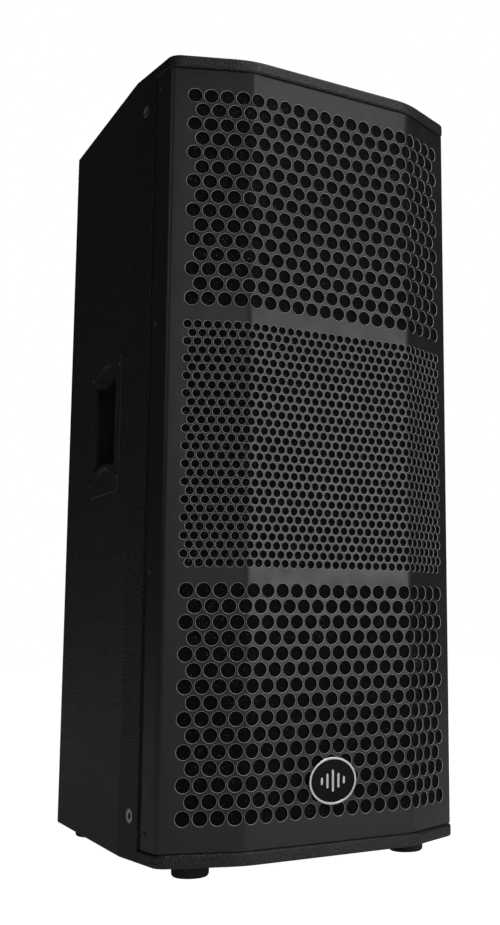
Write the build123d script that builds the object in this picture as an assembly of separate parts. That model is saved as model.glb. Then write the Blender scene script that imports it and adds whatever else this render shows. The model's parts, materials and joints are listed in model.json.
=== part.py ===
from build123d import *
from math import asin, atan, cos, hypot, pi, radians, sin, tan
import os

# A floor-standing two-way PA loudspeaker: two 15 inch woofers with a horn between them.
# Millimetres. +Z is up, the grille faces -Y, and left means -X, as seen from the front.
# The origin lies on the floor, under the middle of the cabinet's bounding box.

# Cabinet
half_width = 245.0
front_y = -260.0
rear_y = 260.0
rear_half_width = 196.0
taper_y = -94.0  # where the parallel sides start to taper
foot_height = 19.0
shell_height = 1121.0
ply = 18.0
edge_round = 4.0
lid_corner_radius = 22.0
lid_fold_radius = 120.0
floor_z = foot_height + ply
ceiling_z = foot_height + shell_height - ply
mid_z = foot_height + shell_height / 2
taper = atan((half_width - rear_half_width) / (rear_y - taper_y))

# Grille
grille_y = -255.5
fold_x = 138.0
facet = radians(23.5)
sheet = 1.5
grille_x = 244.0
flange_back_y = -166.5
rebate_y = -155.5
grille_gap = 1.0  # above and below the grille
bend_radius = 10.0
fold_radius = 4.0
seat_gap = 0.3  # between the grille and the wood
lip = grille_y - front_y
foam_gap = 0.5
foam = 8.0
grille_corner_y = grille_y + (grille_x - fold_x) * tan(facet)

# Perforation: two zones of large holes with a zone of small ones between
pattern_rise = 1.9  # of the pattern's middle above the cabinet's
large_pitch = 23.0
large_row = 21.28
large_hole = 10.15
large_rows = 15
large_columns = 20
large_start = 202.35  # from the pattern's middle to the nearest large row
small_pitch = 13.97
small_row = 12.24
small_hole = 5.85
small_rows = 28
small_columns = 33

# Baffle, drivers and ports
baffle_y = -199.0
baffle_back_y = baffle_y + ply
inner_half_width = half_width - ply
woofer_offset = 340.0
woofer_cutout = 177.0
woofer_flange = 194.0
woofer_screw_circle = 187.0
port_x = 188.0
port_offset = 70.0
port_radius = 26.0
port_wall = 3.0
port_length = 120.0
port_rim = 5.0
horn_width = 290.0
horn_height = 256.0
horn_wall = 3.0
horn_flange = 5.0
throat_y = -49.0
throat_radius = 18.0

# Sides: handles, rigging inserts and grille screws
handle_from_taper = 126.0
handle_rise = 55.0
handle_width = 168.0
handle_height = 213.0
handle_corner = 12.0
handle_plate = 4.0
handle_proud = 1.8  # the rest of the plate's thickness is let into the side
handle_screw_x = 75.0
handle_screw_y = 84.5
handle_cup_width = 144.0
handle_cup_height = 166.0
handle_cup_corner = 20.0
handle_cup_depth = 72.0
handle_wall = 3.0
insert_y = -128.5
insert_offset = 502.0
insert_flange = 9.8
insert_flange_depth = 2.4
insert_barrel = 7.5
insert_thread_core = 4.25
grille_screw_y = -175.0
grille_screw_offsets = (-522.0, -174.0, 174.0, 522.0)

# Feet
foot_radius = 26.0
foot_round = 5.0
front_foot = (178.5, -182.0)
rear_foot = (153.0, 220.0)

# Rear input plate
plate_width = 180.0
plate_height = 130.0
plate_thickness = 3.0
plate_corner = 8.0
plate_screw = (80.0, 55.0)
cutout_width = 146.0
cutout_height = 96.0
gasket_thickness = 1.5
plate_face_y = rear_y - plate_thickness
socket_xs = (-48.0, -8.0)
socket_cavity = 12.0
selector_x = 44.0
board_y = rear_y - 61.0
lead_radius = 3.0

fit = 0.1  # radial gap between a screw and its hole
brace_offset = 146.0
brace_thickness = 15.0


def save(node, *shapes):
    """Write one node. Several shapes become a group of separate solids."""
    shape = shapes[0] if len(shapes) == 1 else Compound(children=list(shapes))
    export_step(shape, f"parts/{node}.step")


def parallel(points, distance):
    """An open outline moved sideways, to its left for a positive distance, with mitred corners."""
    normals = []
    for (x0, y0), (x1, y1) in zip(points, points[1:]):
        run = hypot(x1 - x0, y1 - y0)
        normals.append(((y0 - y1) / run, (x1 - x0) / run))
    moved = []
    for i, (x, y) in enumerate(points):
        ax, ay = normals[max(i - 1, 0)]
        bx, by = normals[min(i, len(normals) - 1)]
        share = distance / (1 + ax * bx + ay * by)
        moved.append((x + share * (ax + bx), y + share * (ay + by)))
    return moved


def outline(points):
    return make_face(Polyline(*points, close=True))


def rounded(face, points, radius):
    """Round the corners of a flat face that lie at the given points."""
    corners = [v for v in face.vertices() if any(hypot(v.X - x, v.Y - y) < 0.01 for x, y in points)]
    return fillet(corners, radius)


def prism(face, low, high):
    return Pos(0, 0, low) * extrude(face, high - low)


def board(x0, x1, y0, y1, z0, z1):
    return Pos((x0 + x1) / 2, (y0 + y1) / 2, (z0 + z1) / 2) * Box(x1 - x0, y1 - y0, z1 - z0)


def both(point):
    x, y = point
    return [(x, y), (-x, y)]


def flip(shape):
    """The same piece for the other side of the cabinet."""
    return mirror(shape, Plane.YZ)


def rod_y(radius, y0, y1, x, z):
    """A plain cylinder along Y."""
    return Pos(x, (y0 + y1) / 2, z) * Rot(90, 0, 0) * Cylinder(radius, y1 - y0)


def tube_y(inner, outer, y0, y1, x, z):
    return rod_y(outer, y0, y1, x, z) - rod_y(inner, y0 - 1, y1 + 1, x, z)


def turned(profile, x=0.0, z=0.0):
    """A solid of revolution about an axis along Y, from a closed outline in (radius, y)."""
    return Pos(x, 0, z) * revolve(profile, Axis.Y)


def ring_points(radius, count, z, start=0.0):
    """Evenly spaced (x, z) places on a circle."""
    turns = [start + 2 * pi * i / count for i in range(count)]
    return [(radius * cos(a), z + radius * sin(a)) for a in turns]


def taper_x(y, depth=0.0):
    """Half-width of the tapered side at y, at a depth inside its outer face."""
    return half_width - (y - taper_y) * tan(taper) - depth / cos(taper)


def pan_screw(plane, head_radius, head_height, shank_radius, length):
    """A cross-recessed pan head screw. The head sits on the plane, and the shank goes in."""
    head = Pos(0, 0, head_height / 2) * Cylinder(head_radius, head_height)
    head = fillet(head.edges().group_by(Axis.Z)[-1], head_height * 0.6)
    shank = Pos(0, 0, -length / 2) * Cylinder(shank_radius, length)
    arm = head_radius * 0.9
    slot = head_radius * 0.22
    recess = Box(arm, slot, head_height) + Box(slot, arm, head_height)
    return plane.location * (head + shank - Pos(0, 0, head_height) * recess)


def facing(x, y, z, direction):
    """A plane whose normal points along a horizontal direction."""
    dx, dy = direction
    return Plane((x, y, z), x_dir=(-dy, dx, 0), z_dir=(dx, dy, 0))


# Cabinet shell


def lid_outline():
    """Plan of the top and bottom panels, whose front edge stands proud of the grille."""
    lip_fold_x = fold_x + lip * tan(facet / 2)
    corner_y = front_y + (half_width - lip_fold_x) * tan(facet)
    right = [(lip_fold_x, front_y), (half_width, corner_y), (half_width, taper_y), (rear_half_width, rear_y)]
    left = [(-x, y) for x, y in reversed(right)]
    face = outline(right + left)
    face = rounded(face, both((lip_fold_x, front_y)), lid_fold_radius)
    face = rounded(face, both((half_width, corner_y)), lid_corner_radius)
    return rounded(face, both((rear_half_width, rear_y)), edge_round)


def lid(low, outside):
    """A top or bottom panel. Its outside rim (0 is the lower one, -1 the upper) is rounded all
    the way round, and its inside rim only at the lip in front of the grille's groove."""
    panel = prism(lid_outline(), low, low + ply)
    rims = panel.edges().group_by(Axis.Z)
    lip_part = fillet(rims[0] + rims[-1], edge_round)
    body = fillet(rims[outside], edge_round)
    front = board(-half_width - 1, half_width + 1, front_y - 1, rebate_y, low - 1, low + ply + 1)
    return lip_part & front, body - front


def joined(pieces):
    first, second = pieces
    return first + second


def foot_places():
    return both(front_foot) + both(rear_foot)


def shell_panels():
    save("top_panel", joined(lid(ceiling_z, -1)))
    bottom = joined(lid(foot_height, 0))
    for x, y in foot_places():
        bottom -= Pos(x, y, foot_height + ply / 2) * Cylinder(2.5 + fit, ply)
    save("bottom_panel", bottom)


def side_strip():
    """The right-hand strip beside the baffle, rebated for the grille's flange."""
    seat = parallel(grille_line(), sheet + seat_gap)[4]
    nose_y = seat[1] - (seat[0] - inner_half_width) * tan(facet)
    mitre_y = taper_y - ply * tan(taper / 2)
    face = outline([
        (inner_half_width, nose_y),
        seat,
        (seat[0], rebate_y),
        (half_width, rebate_y),
        (half_width, taper_y),
        (inner_half_width, mitre_y),
    ])
    face = rounded(face, [seat], bend_radius - sheet - seat_gap)
    strip = prism(face, floor_z, ceiling_z)
    for rise in (-insert_offset, insert_offset):
        strip -= insert_hole(mid_z + rise)
    for rise in grille_screw_offsets:
        strip -= Pos(inner_half_width, grille_screw_y, mid_z + rise) * Rot(0, 90, 0) * Cylinder(2.5 + fit, 60)
    return strip


def side_panel():
    """The right-hand tapered side, with the cut-out for the handle's cup."""
    mitre_y = taper_y - ply * tan(taper / 2)
    face = outline([
        (half_width, taper_y),
        (rear_half_width, rear_y),
        (taper_x(rear_y, ply), rear_y),
        (inner_half_width, mitre_y),
    ])
    face = rounded(face, [(rear_half_width, rear_y)], edge_round)
    panel = prism(face, floor_z, ceiling_z)
    cutter = RectangleRounded(handle_cup_width + 2, handle_cup_height + 2, handle_cup_corner + 1)
    panel -= handle_plane().location * Pos(0, 0, -ply * 1.5) * extrude(cutter, ply * 2)
    rebate = RectangleRounded(
        handle_width + 2 * seat_gap,
        handle_height + 2 * seat_gap,
        handle_corner + seat_gap,
    )
    panel -= handle_plane().location * Pos(0, 0, handle_proud - handle_plate) * extrude(rebate, handle_plate)
    for x, y in handle_screw_places():
        panel -= handle_plane().location * Pos(x, y, -10) * Cylinder(2.2 + fit, 22)
    return panel


def side_walls():
    for name, piece in (("front_strip", side_strip()), ("side_panel", side_panel())):
        save("right_" + name, piece)
        save("left_" + name, flip(piece))


def rear_panel():
    inside_y = rear_y - ply
    face = outline([
        (taper_x(inside_y, ply), inside_y),
        (taper_x(rear_y, ply), rear_y),
        (-taper_x(rear_y, ply), rear_y),
        (-taper_x(inside_y, ply), inside_y),
    ])
    panel = prism(face, floor_z, ceiling_z)
    rebate = RectangleRounded(plate_width + 1, plate_height + 1, plate_corner)
    panel -= rear_plane(0).location * extrude(rebate, -plate_thickness - gasket_thickness)
    hole = RectangleRounded(cutout_width, cutout_height, plate_corner)
    panel -= rear_plane(ply + 1).location * extrude(hole, ply + 2)
    for x, z in plate_screw_places():
        panel -= rod_y(2.0 + fit, rear_y - ply - 1, rear_y, x, z)
    save("rear_panel", panel)


def baffle_board():
    panel = board(-inner_half_width, inner_half_width, baffle_y, baffle_back_y, floor_z, ceiling_z)
    for z in woofer_heights():
        panel -= rod_y(woofer_cutout, baffle_y - 1, baffle_back_y + 1, 0, z)
        for x, screw_z in ring_points(woofer_screw_circle, 8, z, pi / 8):
            panel -= rod_y(2.5 + fit, baffle_y - 1, baffle_back_y + 1, x, screw_z)
    hole = RectangleRounded(horn_width - 34, horn_height - 34, 20)
    panel -= front_plane(baffle_y - 1).location * extrude(hole, -ply - 2)
    for x, z in port_places():
        panel -= rod_y(port_radius + port_wall, baffle_y - 1, baffle_back_y + 1, x, z)
    for x, z in horn_screw_places():
        panel -= rod_y(2.0 + fit, baffle_y - 1, baffle_back_y + 1, x, z)
    save("baffle_board", panel)


def braces():
    """Two shelves between the driver zones, each with a window for air and wiring."""
    inside_y = rear_y - ply
    mitre_y = taper_y - ply * tan(taper / 2)
    right = [(inner_half_width, baffle_back_y), (inner_half_width, mitre_y), (taper_x(inside_y, ply), inside_y)]
    shelf = outline(right + [(-x, y) for x, y in reversed(right)])
    rim = 48.0
    window_right = [
        (inner_half_width - rim, baffle_back_y + rim),
        (inner_half_width - rim, mitre_y),
        (taper_x(inside_y, ply) - rim, inside_y - rim),
    ]
    window = outline(window_right + [(-x, y) for x, y in reversed(window_right)])
    window = rounded(window, both(window_right[0]) + both(window_right[2]), 30)
    shelves = []
    for low in (mid_z - brace_offset - brace_thickness, mid_z + brace_offset):
        high = low + brace_thickness
        shelves.append(prism(shelf, low, high) - prism(window, low - 1, high + 1))
    save("brace_shelves", *shelves)


def acoustic_lining():
    """Wadding stapled to the sides and the rear wall of both woofer chambers."""
    depth = 25.0
    front = taper_y + 20
    back = rear_y - ply - depth - 5
    wall = outline([
        (taper_x(front, ply), front),
        (taper_x(back, ply), back),
        (taper_x(back, ply + depth), back),
        (taper_x(front, ply + depth), front),
    ])
    rear_x = taper_x(rear_y - ply, ply) - 10
    sheets = []
    upper = (mid_z + brace_offset + brace_thickness + 10, ceiling_z - 10)
    lower = (floor_z + 10, mid_z - brace_offset - brace_thickness - 10)
    for low, high in (lower, upper):
        side = prism(wall, low, high)
        rear = board(-rear_x, rear_x, rear_y - ply - depth, rear_y - ply, low, high)
        sheets += [side, flip(side), rear]
    save("acoustic_lining", *sheets)


# Grille


def grille_line():
    """The grille's outer face in plan, from the left flange round to the right one."""
    right = [(fold_x, grille_y), (grille_x, grille_corner_y), (grille_x, flange_back_y)]
    return [(-x, y) for x, y in reversed(right)] + right


def folded(u, z):
    """The plane on the grille's face at a distance u along the sheet from its middle."""
    over = abs(u) - fold_x
    side = 1 if u > 0 else -1
    if over < 0:
        return Plane((u, grille_y, z), x_dir=(1, 0, 0), z_dir=(0, -1, 0))
    x = side * (fold_x + over * cos(facet))
    y = grille_y + over * sin(facet)
    return Plane((x, y, z), x_dir=(side * cos(facet), sin(facet), 0), z_dir=(side * sin(facet), -cos(facet), 0))


def punched_row(z, pitch, columns, radius):
    middle = (columns - 1) / 2
    return [folded((i - middle) * pitch, z).location * Cylinder(radius, 8) for i in range(columns)]


def punches():
    tools = []
    for k in range(large_rows):
        for side in (1, -1):
            z = mid_z + pattern_rise + side * (large_start + k * large_row)
            tools += punched_row(z, large_pitch, large_columns - k % 2, large_hole)
    for k in range(small_rows):
        z = mid_z + pattern_rise + ((small_rows - 1) / 2 - k) * small_row
        tools += punched_row(z, small_pitch, small_columns - k % 2, small_hole)
    return tools


def grille():
    """One folded steel sheet: a front, two angled facets and a flange down each side."""
    outer = grille_line()
    inner = parallel(outer, sheet)
    face = outline(outer + inner[::-1])
    face = rounded(face, [outer[1], outer[4]], bend_radius)
    face = rounded(face, [inner[1], inner[4]], bend_radius - sheet)
    face = rounded(face, [outer[2], outer[3]], fold_radius)
    face = rounded(face, [inner[2], inner[3]], fold_radius - sheet)
    blank = prism(face, floor_z + grille_gap, ceiling_z - grille_gap)
    flange_holes = []
    for rise in grille_screw_offsets:
        place = Pos(0, grille_screw_y, mid_z + rise)
        flange_holes.append(place * Rot(0, 90, 0) * Cylinder(2.5 + fit, 3 * half_width))
    save("grille", blank - punches() - flange_holes)


def grille_foam():
    """Acoustic foam glued behind the perforated front."""
    near = parallel(grille_line(), sheet + foam_gap)
    far = parallel(grille_line(), sheet + foam_gap + foam)
    edge_x = inner_half_width - 3
    side_y = [line[1][1] - (abs(line[1][0]) - edge_x) * tan(facet) for line in (near, far)]
    front = [(-edge_x, side_y[0]), near[2], near[3], (edge_x, side_y[0])]
    back = [(edge_x, side_y[1]), far[3], far[2], (-edge_x, side_y[1])]
    save("grille_foam", prism(outline(front + back), floor_z + 3, ceiling_z - 3))


def grille_screws():
    screws = []
    for rise in grille_screw_offsets:
        plane = facing(grille_x, grille_screw_y, mid_z + rise, (1, 0))
        screw = pan_screw(plane, 5.2, 1.6, 2.5, 15)
        screws += [screw, flip(screw)]
    save("grille_screws", *screws)


def badge():
    """An oval badge low on the grille: a black plate in a bright rim, with a row of level bars."""
    half_long = 38.5
    half_high = 32.0
    rim_width = 3.2
    gap = 0.2  # between the plate and its rim
    back = front_plane(grille_y, mid_z - 460)
    inner = Ellipse(half_long - rim_width, half_high - rim_width)
    base = extrude(Ellipse(half_long - rim_width - gap, half_high - rim_width - gap), 2.5)
    rim = extrude(Ellipse(half_long, half_high) - inner, 3.8)
    bars = []
    for i, height in enumerate((10, 20, 30, 20, 10)):
        shape = Pos((i - 2) * 9, 0, 2.5) * extrude(SlotOverall(height, 3.6, rotation=90), 0.9)
        bars.append(back.location * shape)
    save("badge_base", back.location * base)
    save("badge_trim", back.location * rim, *bars)


# Handles, inserts and feet


def handle_plane():
    """On the right-hand tapered side: x runs to the rear, y up and z outwards."""
    run_x = sin(taper)
    run_y = cos(taper)
    place = (half_width - handle_from_taper * run_x, taper_y + handle_from_taper * run_y, mid_z + handle_rise)
    return Plane(place, x_dir=(-run_x, run_y, 0), z_dir=(run_y, run_x, 0))


def handle_screw_places():
    return [(x, y) for x in (-handle_screw_x, handle_screw_x) for y in (-handle_screw_y, handle_screw_y)]


def grip_opening():
    """The hand opening, whose four sides bow inwards."""
    x = 60.0
    y = 68.5
    waist_x = 56.5
    waist_y = 60.0
    edges = (
        ThreePointArc((-x, y), (0, waist_y), (x, y))
        + ThreePointArc((x, y), (waist_x, 0), (x, -y))
        + ThreePointArc((x, -y), (0, -waist_y), (-x, -y))
        + ThreePointArc((-x, -y), (-waist_x, 0), (-x, y))
    )
    return fillet(make_face(edges).vertices(), 8)


def scoop(x, y, half_x, half_y, depth):
    return Pos(x, y, handle_proud) * scale(Sphere(1), by=(half_x, half_y, depth))


def handle_body():
    """A moulded recessed handle: a face plate with a deep cup behind it."""
    base = handle_proud - handle_plate
    plate = Pos(0, 0, base) * extrude(RectangleRounded(handle_width, handle_height, handle_corner), handle_plate)
    plate = fillet(plate.edges().group_by(Axis.Z)[-1], handle_proud * 0.8)
    cup = extrude(RectangleRounded(handle_cup_width, handle_cup_height, handle_cup_corner), -handle_cup_depth)
    room = RectangleRounded(
        handle_cup_width - 2 * handle_wall,
        handle_cup_height - 2 * handle_wall,
        handle_cup_corner - handle_wall,
    )
    body = plate + cup
    ceiling = base - 1
    body -= Pos(0, 0, ceiling) * extrude(room, handle_wall - handle_cup_depth - ceiling)
    body -= Pos(0, 0, ceiling - 1) * extrude(grip_opening(), handle_plate + 3)
    for side in (-1, 1):
        body -= scoop(0, side * 79.0, 39, 14, 2.8)
        body -= scoop(side * 71.5, -8, 7, 26, 2.0)
    for x, y in handle_screw_places():
        body -= Pos(x, y, 0) * Cylinder(2.2 + fit, 20)
        body -= Pos(x, y, handle_proud) * Cylinder(5.2, 2.4)
    return handle_plane().location * body


def handles():
    body = handle_body()
    save("right_handle", body)
    save("left_handle", flip(body))
    screws = []
    for x, y in handle_screw_places():
        plane = Plane((handle_plane() * Pos(x, y, handle_proud - 1.2)).position, *handle_axes())
        screw = pan_screw(plane, 4.6, 2.4, 2.2, 16)
        screws += [screw, flip(screw)]
    save("handle_screws", *screws)


def handle_axes():
    plane = handle_plane()
    return plane.x_dir, plane.z_dir


def across_strip(radius, depth, length, z):
    """A cylinder through the right-hand strip at the inserts' place, its middle at a depth."""
    return Pos(half_width - depth, insert_y, z) * Rot(0, 90, 0) * Cylinder(radius, length)


def insert_hole(z):
    """Room for a rigging insert: its barrel through the strip and its flange let in flush."""
    barrel = across_strip(insert_barrel + fit, ply / 2, ply + 2, z)
    return barrel + across_strip(insert_flange + fit, insert_flange_depth / 2, insert_flange_depth + 0.1, z)


def rigging_inserts():
    """Flanged M10 inserts for eyebolts or a wall bracket, flush with the sides."""
    inserts = []
    for rise in (-insert_offset, insert_offset):
        z = mid_z + rise
        insert = across_strip(insert_barrel, ply / 2, ply, z)
        insert += across_strip(insert_flange, insert_flange_depth / 2, insert_flange_depth, z)
        insert -= across_strip(insert_thread_core, ply / 2, ply + 2, z)
        inserts += [insert, flip(insert)]
    save("rigging_inserts", *inserts)


def rubber_feet():
    feet = []
    screws = []
    seat = 8.0
    for x, y in foot_places():
        foot = Pos(x, y, foot_height / 2) * Cone(foot_radius - 1, foot_radius, foot_height)
        foot = fillet(foot.edges().group_by(Axis.Z)[0], foot_round)
        foot -= Pos(x, y, foot_height / 2) * Cylinder(2.5 + fit, foot_height + 2)
        foot -= Pos(x, y, seat / 2 - 0.5) * Cylinder(8, seat + 1)
        feet.append(foot)
        plane = Plane((x, y, seat), x_dir=(1, 0, 0), z_dir=(0, 0, -1))
        screws.append(pan_screw(plane, 5.5, 3, 2.5, foot_height - seat + 14))
    save("rubber_feet", *feet)
    save("foot_screws", *screws)


# Woofers


def woofer_heights():
    return (mid_z + woofer_offset, mid_z - woofer_offset)


def basket(z):
    """Pressed steel chassis: a flange on the baffle and eight arms back to the magnet."""
    y = baffle_y
    shell = outline([
        (172, y - 6), (184, y - 6), (184, y - 7.2), (woofer_flange, y - 7.2), (woofer_flange, y),
        (176, y), (176, y + 8), (122, y + 58), (98, y + 80), (98, y + 92.8), (88, y + 96),
        (62, y + 96), (62, y + 92.6), (84, y + 92.6), (84, y + 77.4), (96, y + 77.4),
        (119, y + 55), (172, y + 6),
    ])
    body = turned(shell, z=z)
    for i in range(8):
        window = Pos(145, y + 38, 0) * Rot(0, 0, 40) * Box(62, 52, 62)
        body -= Pos(0, 0, z) * Rot(0, i * 45.0, 0) * window
    for x, screw_z in ring_points(woofer_screw_circle, 8, z, pi / 8):
        body -= rod_y(2.5 + fit, y - 10, y + 1, x, screw_z)
    return body


def surround(z):
    """Treated cloth edge with two rolls, from the cone to the flange."""
    y = baffle_y
    thick = 0.8
    front = (
        Line((152, y - 5.6), (159, y - 5.6))
        + ThreePointArc((159, y - 5.6), (162.5, y - 9.1), (166, y - 5.6))
        + ThreePointArc((166, y - 5.6), (168, y - 3.6), (170, y - 5.6))
        + Line((170, y - 5.6), (172, y - 6 - thick))
        + Line((172, y - 6 - thick), (183, y - 6 - thick))
        + Line((183, y - 6 - thick), (183, y - 6))
        + Line((183, y - 6), (171.6, y - 6))
        + Line((171.6, y - 6), (170.6, y - 5.6 + thick))
        + ThreePointArc((170.6, y - 5.6 + thick), (168, y - 2.8), (165.2, y - 5.6))
        + ThreePointArc((165.2, y - 5.6), (162.5, y - 8.3), (159.8, y - 5.6))
        + Line((159.8, y - 5.6), (159.8, y - 5.6 + thick))
        + Line((159.8, y - 5.6 + thick), (152, y - 5.6 + thick))
        + Line((152, y - 5.6 + thick), (152, y - 5.6))
    )
    return turned(make_face(front), z=z)


def cone(z):
    """Paper cone, gently curved, with a flat outer lip that the surround is glued to."""
    y = baffle_y
    thick = 1.4
    lip_y = y - 5.6 + 0.8
    neck = 38.9
    edges = (
        Line((159, lip_y), (152, lip_y))
        + ThreePointArc((152, lip_y), (92, y + 32), (neck, y + 60))
        + Line((neck, y + 60), (neck, y + 60 + thick * 1.5))
        + ThreePointArc((neck, y + 60 + thick * 1.5), (92, y + 32 + thick * 1.3), (152, lip_y + thick))
        + Line((152, lip_y + thick), (159, lip_y + thick))
        + Line((159, lip_y + thick), (159, lip_y))
    )
    return turned(make_face(edges), z=z)


def dome(rim_radius, rise, thick, rim_y):
    """Outline of a thin spherical cap that bulges to the front, for turning about its axis."""
    radius = (rim_radius ** 2 + rise ** 2) / (2 * rise)
    centre_y = rim_y - rise + radius
    half_turn = asin(rim_radius / radius)

    def on_sphere(r, turn):
        return r * sin(turn), centre_y - r * cos(turn)

    inner = radius - thick
    return (
        ThreePointArc(on_sphere(radius, 0), on_sphere(radius, half_turn / 2), on_sphere(radius, half_turn))
        + Line(on_sphere(radius, half_turn), on_sphere(inner, half_turn))
        + ThreePointArc(on_sphere(inner, half_turn), on_sphere(inner, half_turn / 2), on_sphere(inner, 0))
        + Line(on_sphere(inner, 0), on_sphere(radius, 0))
    )


def dust_cap(z):
    return turned(make_face(dome(50.0, 19.0, 1.0, baffle_y + 52.2)), z=z)


def spider(z):
    """Corrugated cloth centring ring."""
    y = baffle_y + 77.0
    thick = 0.6
    wave = [(39.6, y)]
    for i in range(11):
        wave.append((44.0 + 4.2 * i, y + (2.0 if i % 2 else -2.0)))
    wave += [(88, y), (95.6, y)]
    back = [(r, h - thick) for r, h in reversed(wave)]
    return turned(outline(wave + back), z=z)


def voice_coil(z):
    """Winding on its former, running in the magnet gap."""
    y = baffle_y
    former = tube_y(38.1, 38.6, y + 60.4, y + 112, 0, z)
    winding = tube_y(38.5, 39.5, y + 92, y + 108, 0, z)
    return former + winding


def woofers():
    y = baffle_y
    magnets, plates, yokes, gaskets, screws = [], [], [], [], []
    for name, z in zip(("upper", "lower"), woofer_heights()):
        save(f"{name}_basket", basket(z))
        save(f"{name}_surround", surround(z))
        save(f"{name}_cone", cone(z))
        save(f"{name}_dust_cap", dust_cap(z))
        save(f"{name}_spider", spider(z))
        save(f"{name}_voice_coil", voice_coil(z))
        plates.append(tube_y(40.4, 88, y + 96, y + 104, 0, z))
        magnets.append(tube_y(56, 98, y + 104, y + 126, 0, z))
        pole = outline([(14, y + 95), (37.2, y + 95), (37.2, y + 126), (90, y + 126), (90, y + 136), (14, y + 136)])
        yokes.append(turned(pole, z=z))
        ring = tube_y(172, 191, y - 10.4, y - 7.2, 0, z)
        for x, screw_z in ring_points(woofer_screw_circle, 8, z, pi / 8):
            ring -= rod_y(2.5 + fit, y - 12, y, x, screw_z)
            screws.append(pan_screw(facing(x, y - 10.4, screw_z, (0, -1)), 4.0, 2.4, 2.5, 26))
        gaskets.append(ring)
    save("woofer_front_plates", *plates)
    save("woofer_magnets", *magnets)
    save("woofer_yokes", *yokes)
    save("woofer_gaskets", *gaskets)
    save("woofer_screws", *screws)


# Horn, compression driver and ports


def front_plane(y, z=mid_z):
    """Upright plane with its normal towards the listener."""
    return Plane((0, y, z), x_dir=(1, 0, 0), z_dir=(0, -1, 0))


def rear_plane(depth):
    """Upright plane with its normal to the rear, at a depth inside the rear face."""
    return Plane((0, rear_y - depth, mid_z), x_dir=(-1, 0, 0), z_dir=(0, 1, 0))


def flare(wall, front):
    """The horn's flare as a filled body, grown outwards by its wall thickness."""
    throat = 2 * (throat_radius + wall)
    sections = (
        (throat_y - 1, throat, throat, throat / 2 - 0.2),
        (throat_y - 60, 92 + 2 * wall, 74 + 2 * wall, 24 + wall),
        (front, horn_width - 44 + 2 * wall, horn_height - 44 + 2 * wall, 20 + wall),
    )
    faces = [front_plane(y) * RectangleRounded(w, h, r) for y, w, h, r in sections]
    return loft(faces)


def horn_screw_places():
    x = horn_width / 2 - 9
    z = horn_height / 2 - 9
    return [(i * x, mid_z + j * z) for i in (-1, 0, 1) for j in (-1, 0, 1) if (i, j) != (0, 0)]


def horn():
    flange = front_plane(baffle_y).location * extrude(RectangleRounded(horn_width, horn_height, 14), horn_flange)
    mount = rod_y(46, throat_y - 6, throat_y, 0, mid_z)
    body = flange + flare(horn_wall, baffle_y - 2) + mount - flare(0, baffle_y - horn_flange - 1)
    body -= rod_y(throat_radius, throat_y - 2, throat_y + 1, 0, mid_z)
    for x, z in horn_screw_places():
        body -= rod_y(2.0 + fit, baffle_y - horn_flange - 1, baffle_y + 1, x, z)
    for x, z in hf_bolt_places():
        body -= rod_y(3.0 + fit, throat_y - 7, throat_y + 1, x, z)
    save("horn", body)
    screws = []
    for x, z in horn_screw_places():
        screws.append(pan_screw(facing(x, baffle_y - horn_flange, z, (0, -1)), 3.8, 2.2, 2.0, 20))
    save("horn_screws", *screws)


def hf_bolt_places():
    return ring_points(38, 4, mid_z, pi / 4)


def compression_driver():
    """Ferrite compression driver with its diaphragm at the rear, behind a phase plug."""
    y = throat_y
    front = tube_y(throat_radius, 62, y, y + 8, 0, mid_z)
    for x, z in hf_bolt_places():
        front -= rod_y(3.0 + fit, y - 1, y + 9, x, z)
    magnet = tube_y(34, 68, y + 8, y + 28, 0, mid_z)
    pole_shape = outline([
        (throat_radius, y + 8), (30, y + 8), (30, y + 40), (24, y + 40), (throat_radius, y + 36),
    ])
    pole = turned(pole_shape, z=mid_z)
    plug = turned(outline([(0, y + 16), (5, y + 30), (throat_radius - 2, y + 39), (0, y + 41)]), z=mid_z)
    webs = board(-throat_radius, throat_radius, y + 30, y + 35, mid_z - 1, mid_z + 1)
    webs += board(-1, 1, y + 30, y + 35, mid_z - throat_radius, mid_z + throat_radius)
    top = tube_y(31.6, 62, y + 28, y + 36, 0, mid_z)
    dome_rim_y = y + 50
    diaphragm = turned(make_face(dome(30.8, 7.5, 0.6, dome_rim_y)), z=mid_z)
    diaphragm += tube_y(30.4, 31.1, y + 32, dome_rim_y + 0.4, 0, mid_z)
    cover = turned(outline([
        (0, y + 62), (48, y + 62), (56, y + 56), (56, y + 36), (52, y + 36), (52, y + 54), (46, y + 58), (0, y + 58),
    ]), z=mid_z)
    save("hf_plates", front, top)
    save("hf_magnet", magnet)
    save("hf_pole_piece", pole + plug + webs)
    save("hf_diaphragm", diaphragm)
    save("hf_rear_cover", cover)
    bolts = [pan_screw(facing(x, y - 6, z, (0, -1)), 5, 3, 3.0, 13.8) for x, z in hf_bolt_places()]
    save("hf_bolts", *bolts)


def port_places():
    return [(side * port_x, mid_z + rise) for side in (-1, 1) for rise in (-port_offset, port_offset)]


def port_tubes():
    y = baffle_y
    inner = port_radius
    outer = port_radius + port_wall
    wall = outline([
        (inner + 5, y - 2.5), (outer + port_rim, y - 2.5), (outer + port_rim, y), (outer, y),
        (outer, y + port_length), (inner, y + port_length), (inner, y + 6),
    ])
    save("port_tubes", *[turned(wall, x=x, z=z) for x, z in port_places()])


# Rear input plate and crossover


def plate_screw_places():
    x, z = plate_screw
    return [(i * x, mid_z + j * z) for i in (-1, 1) for j in (-1, 1)]


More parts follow.
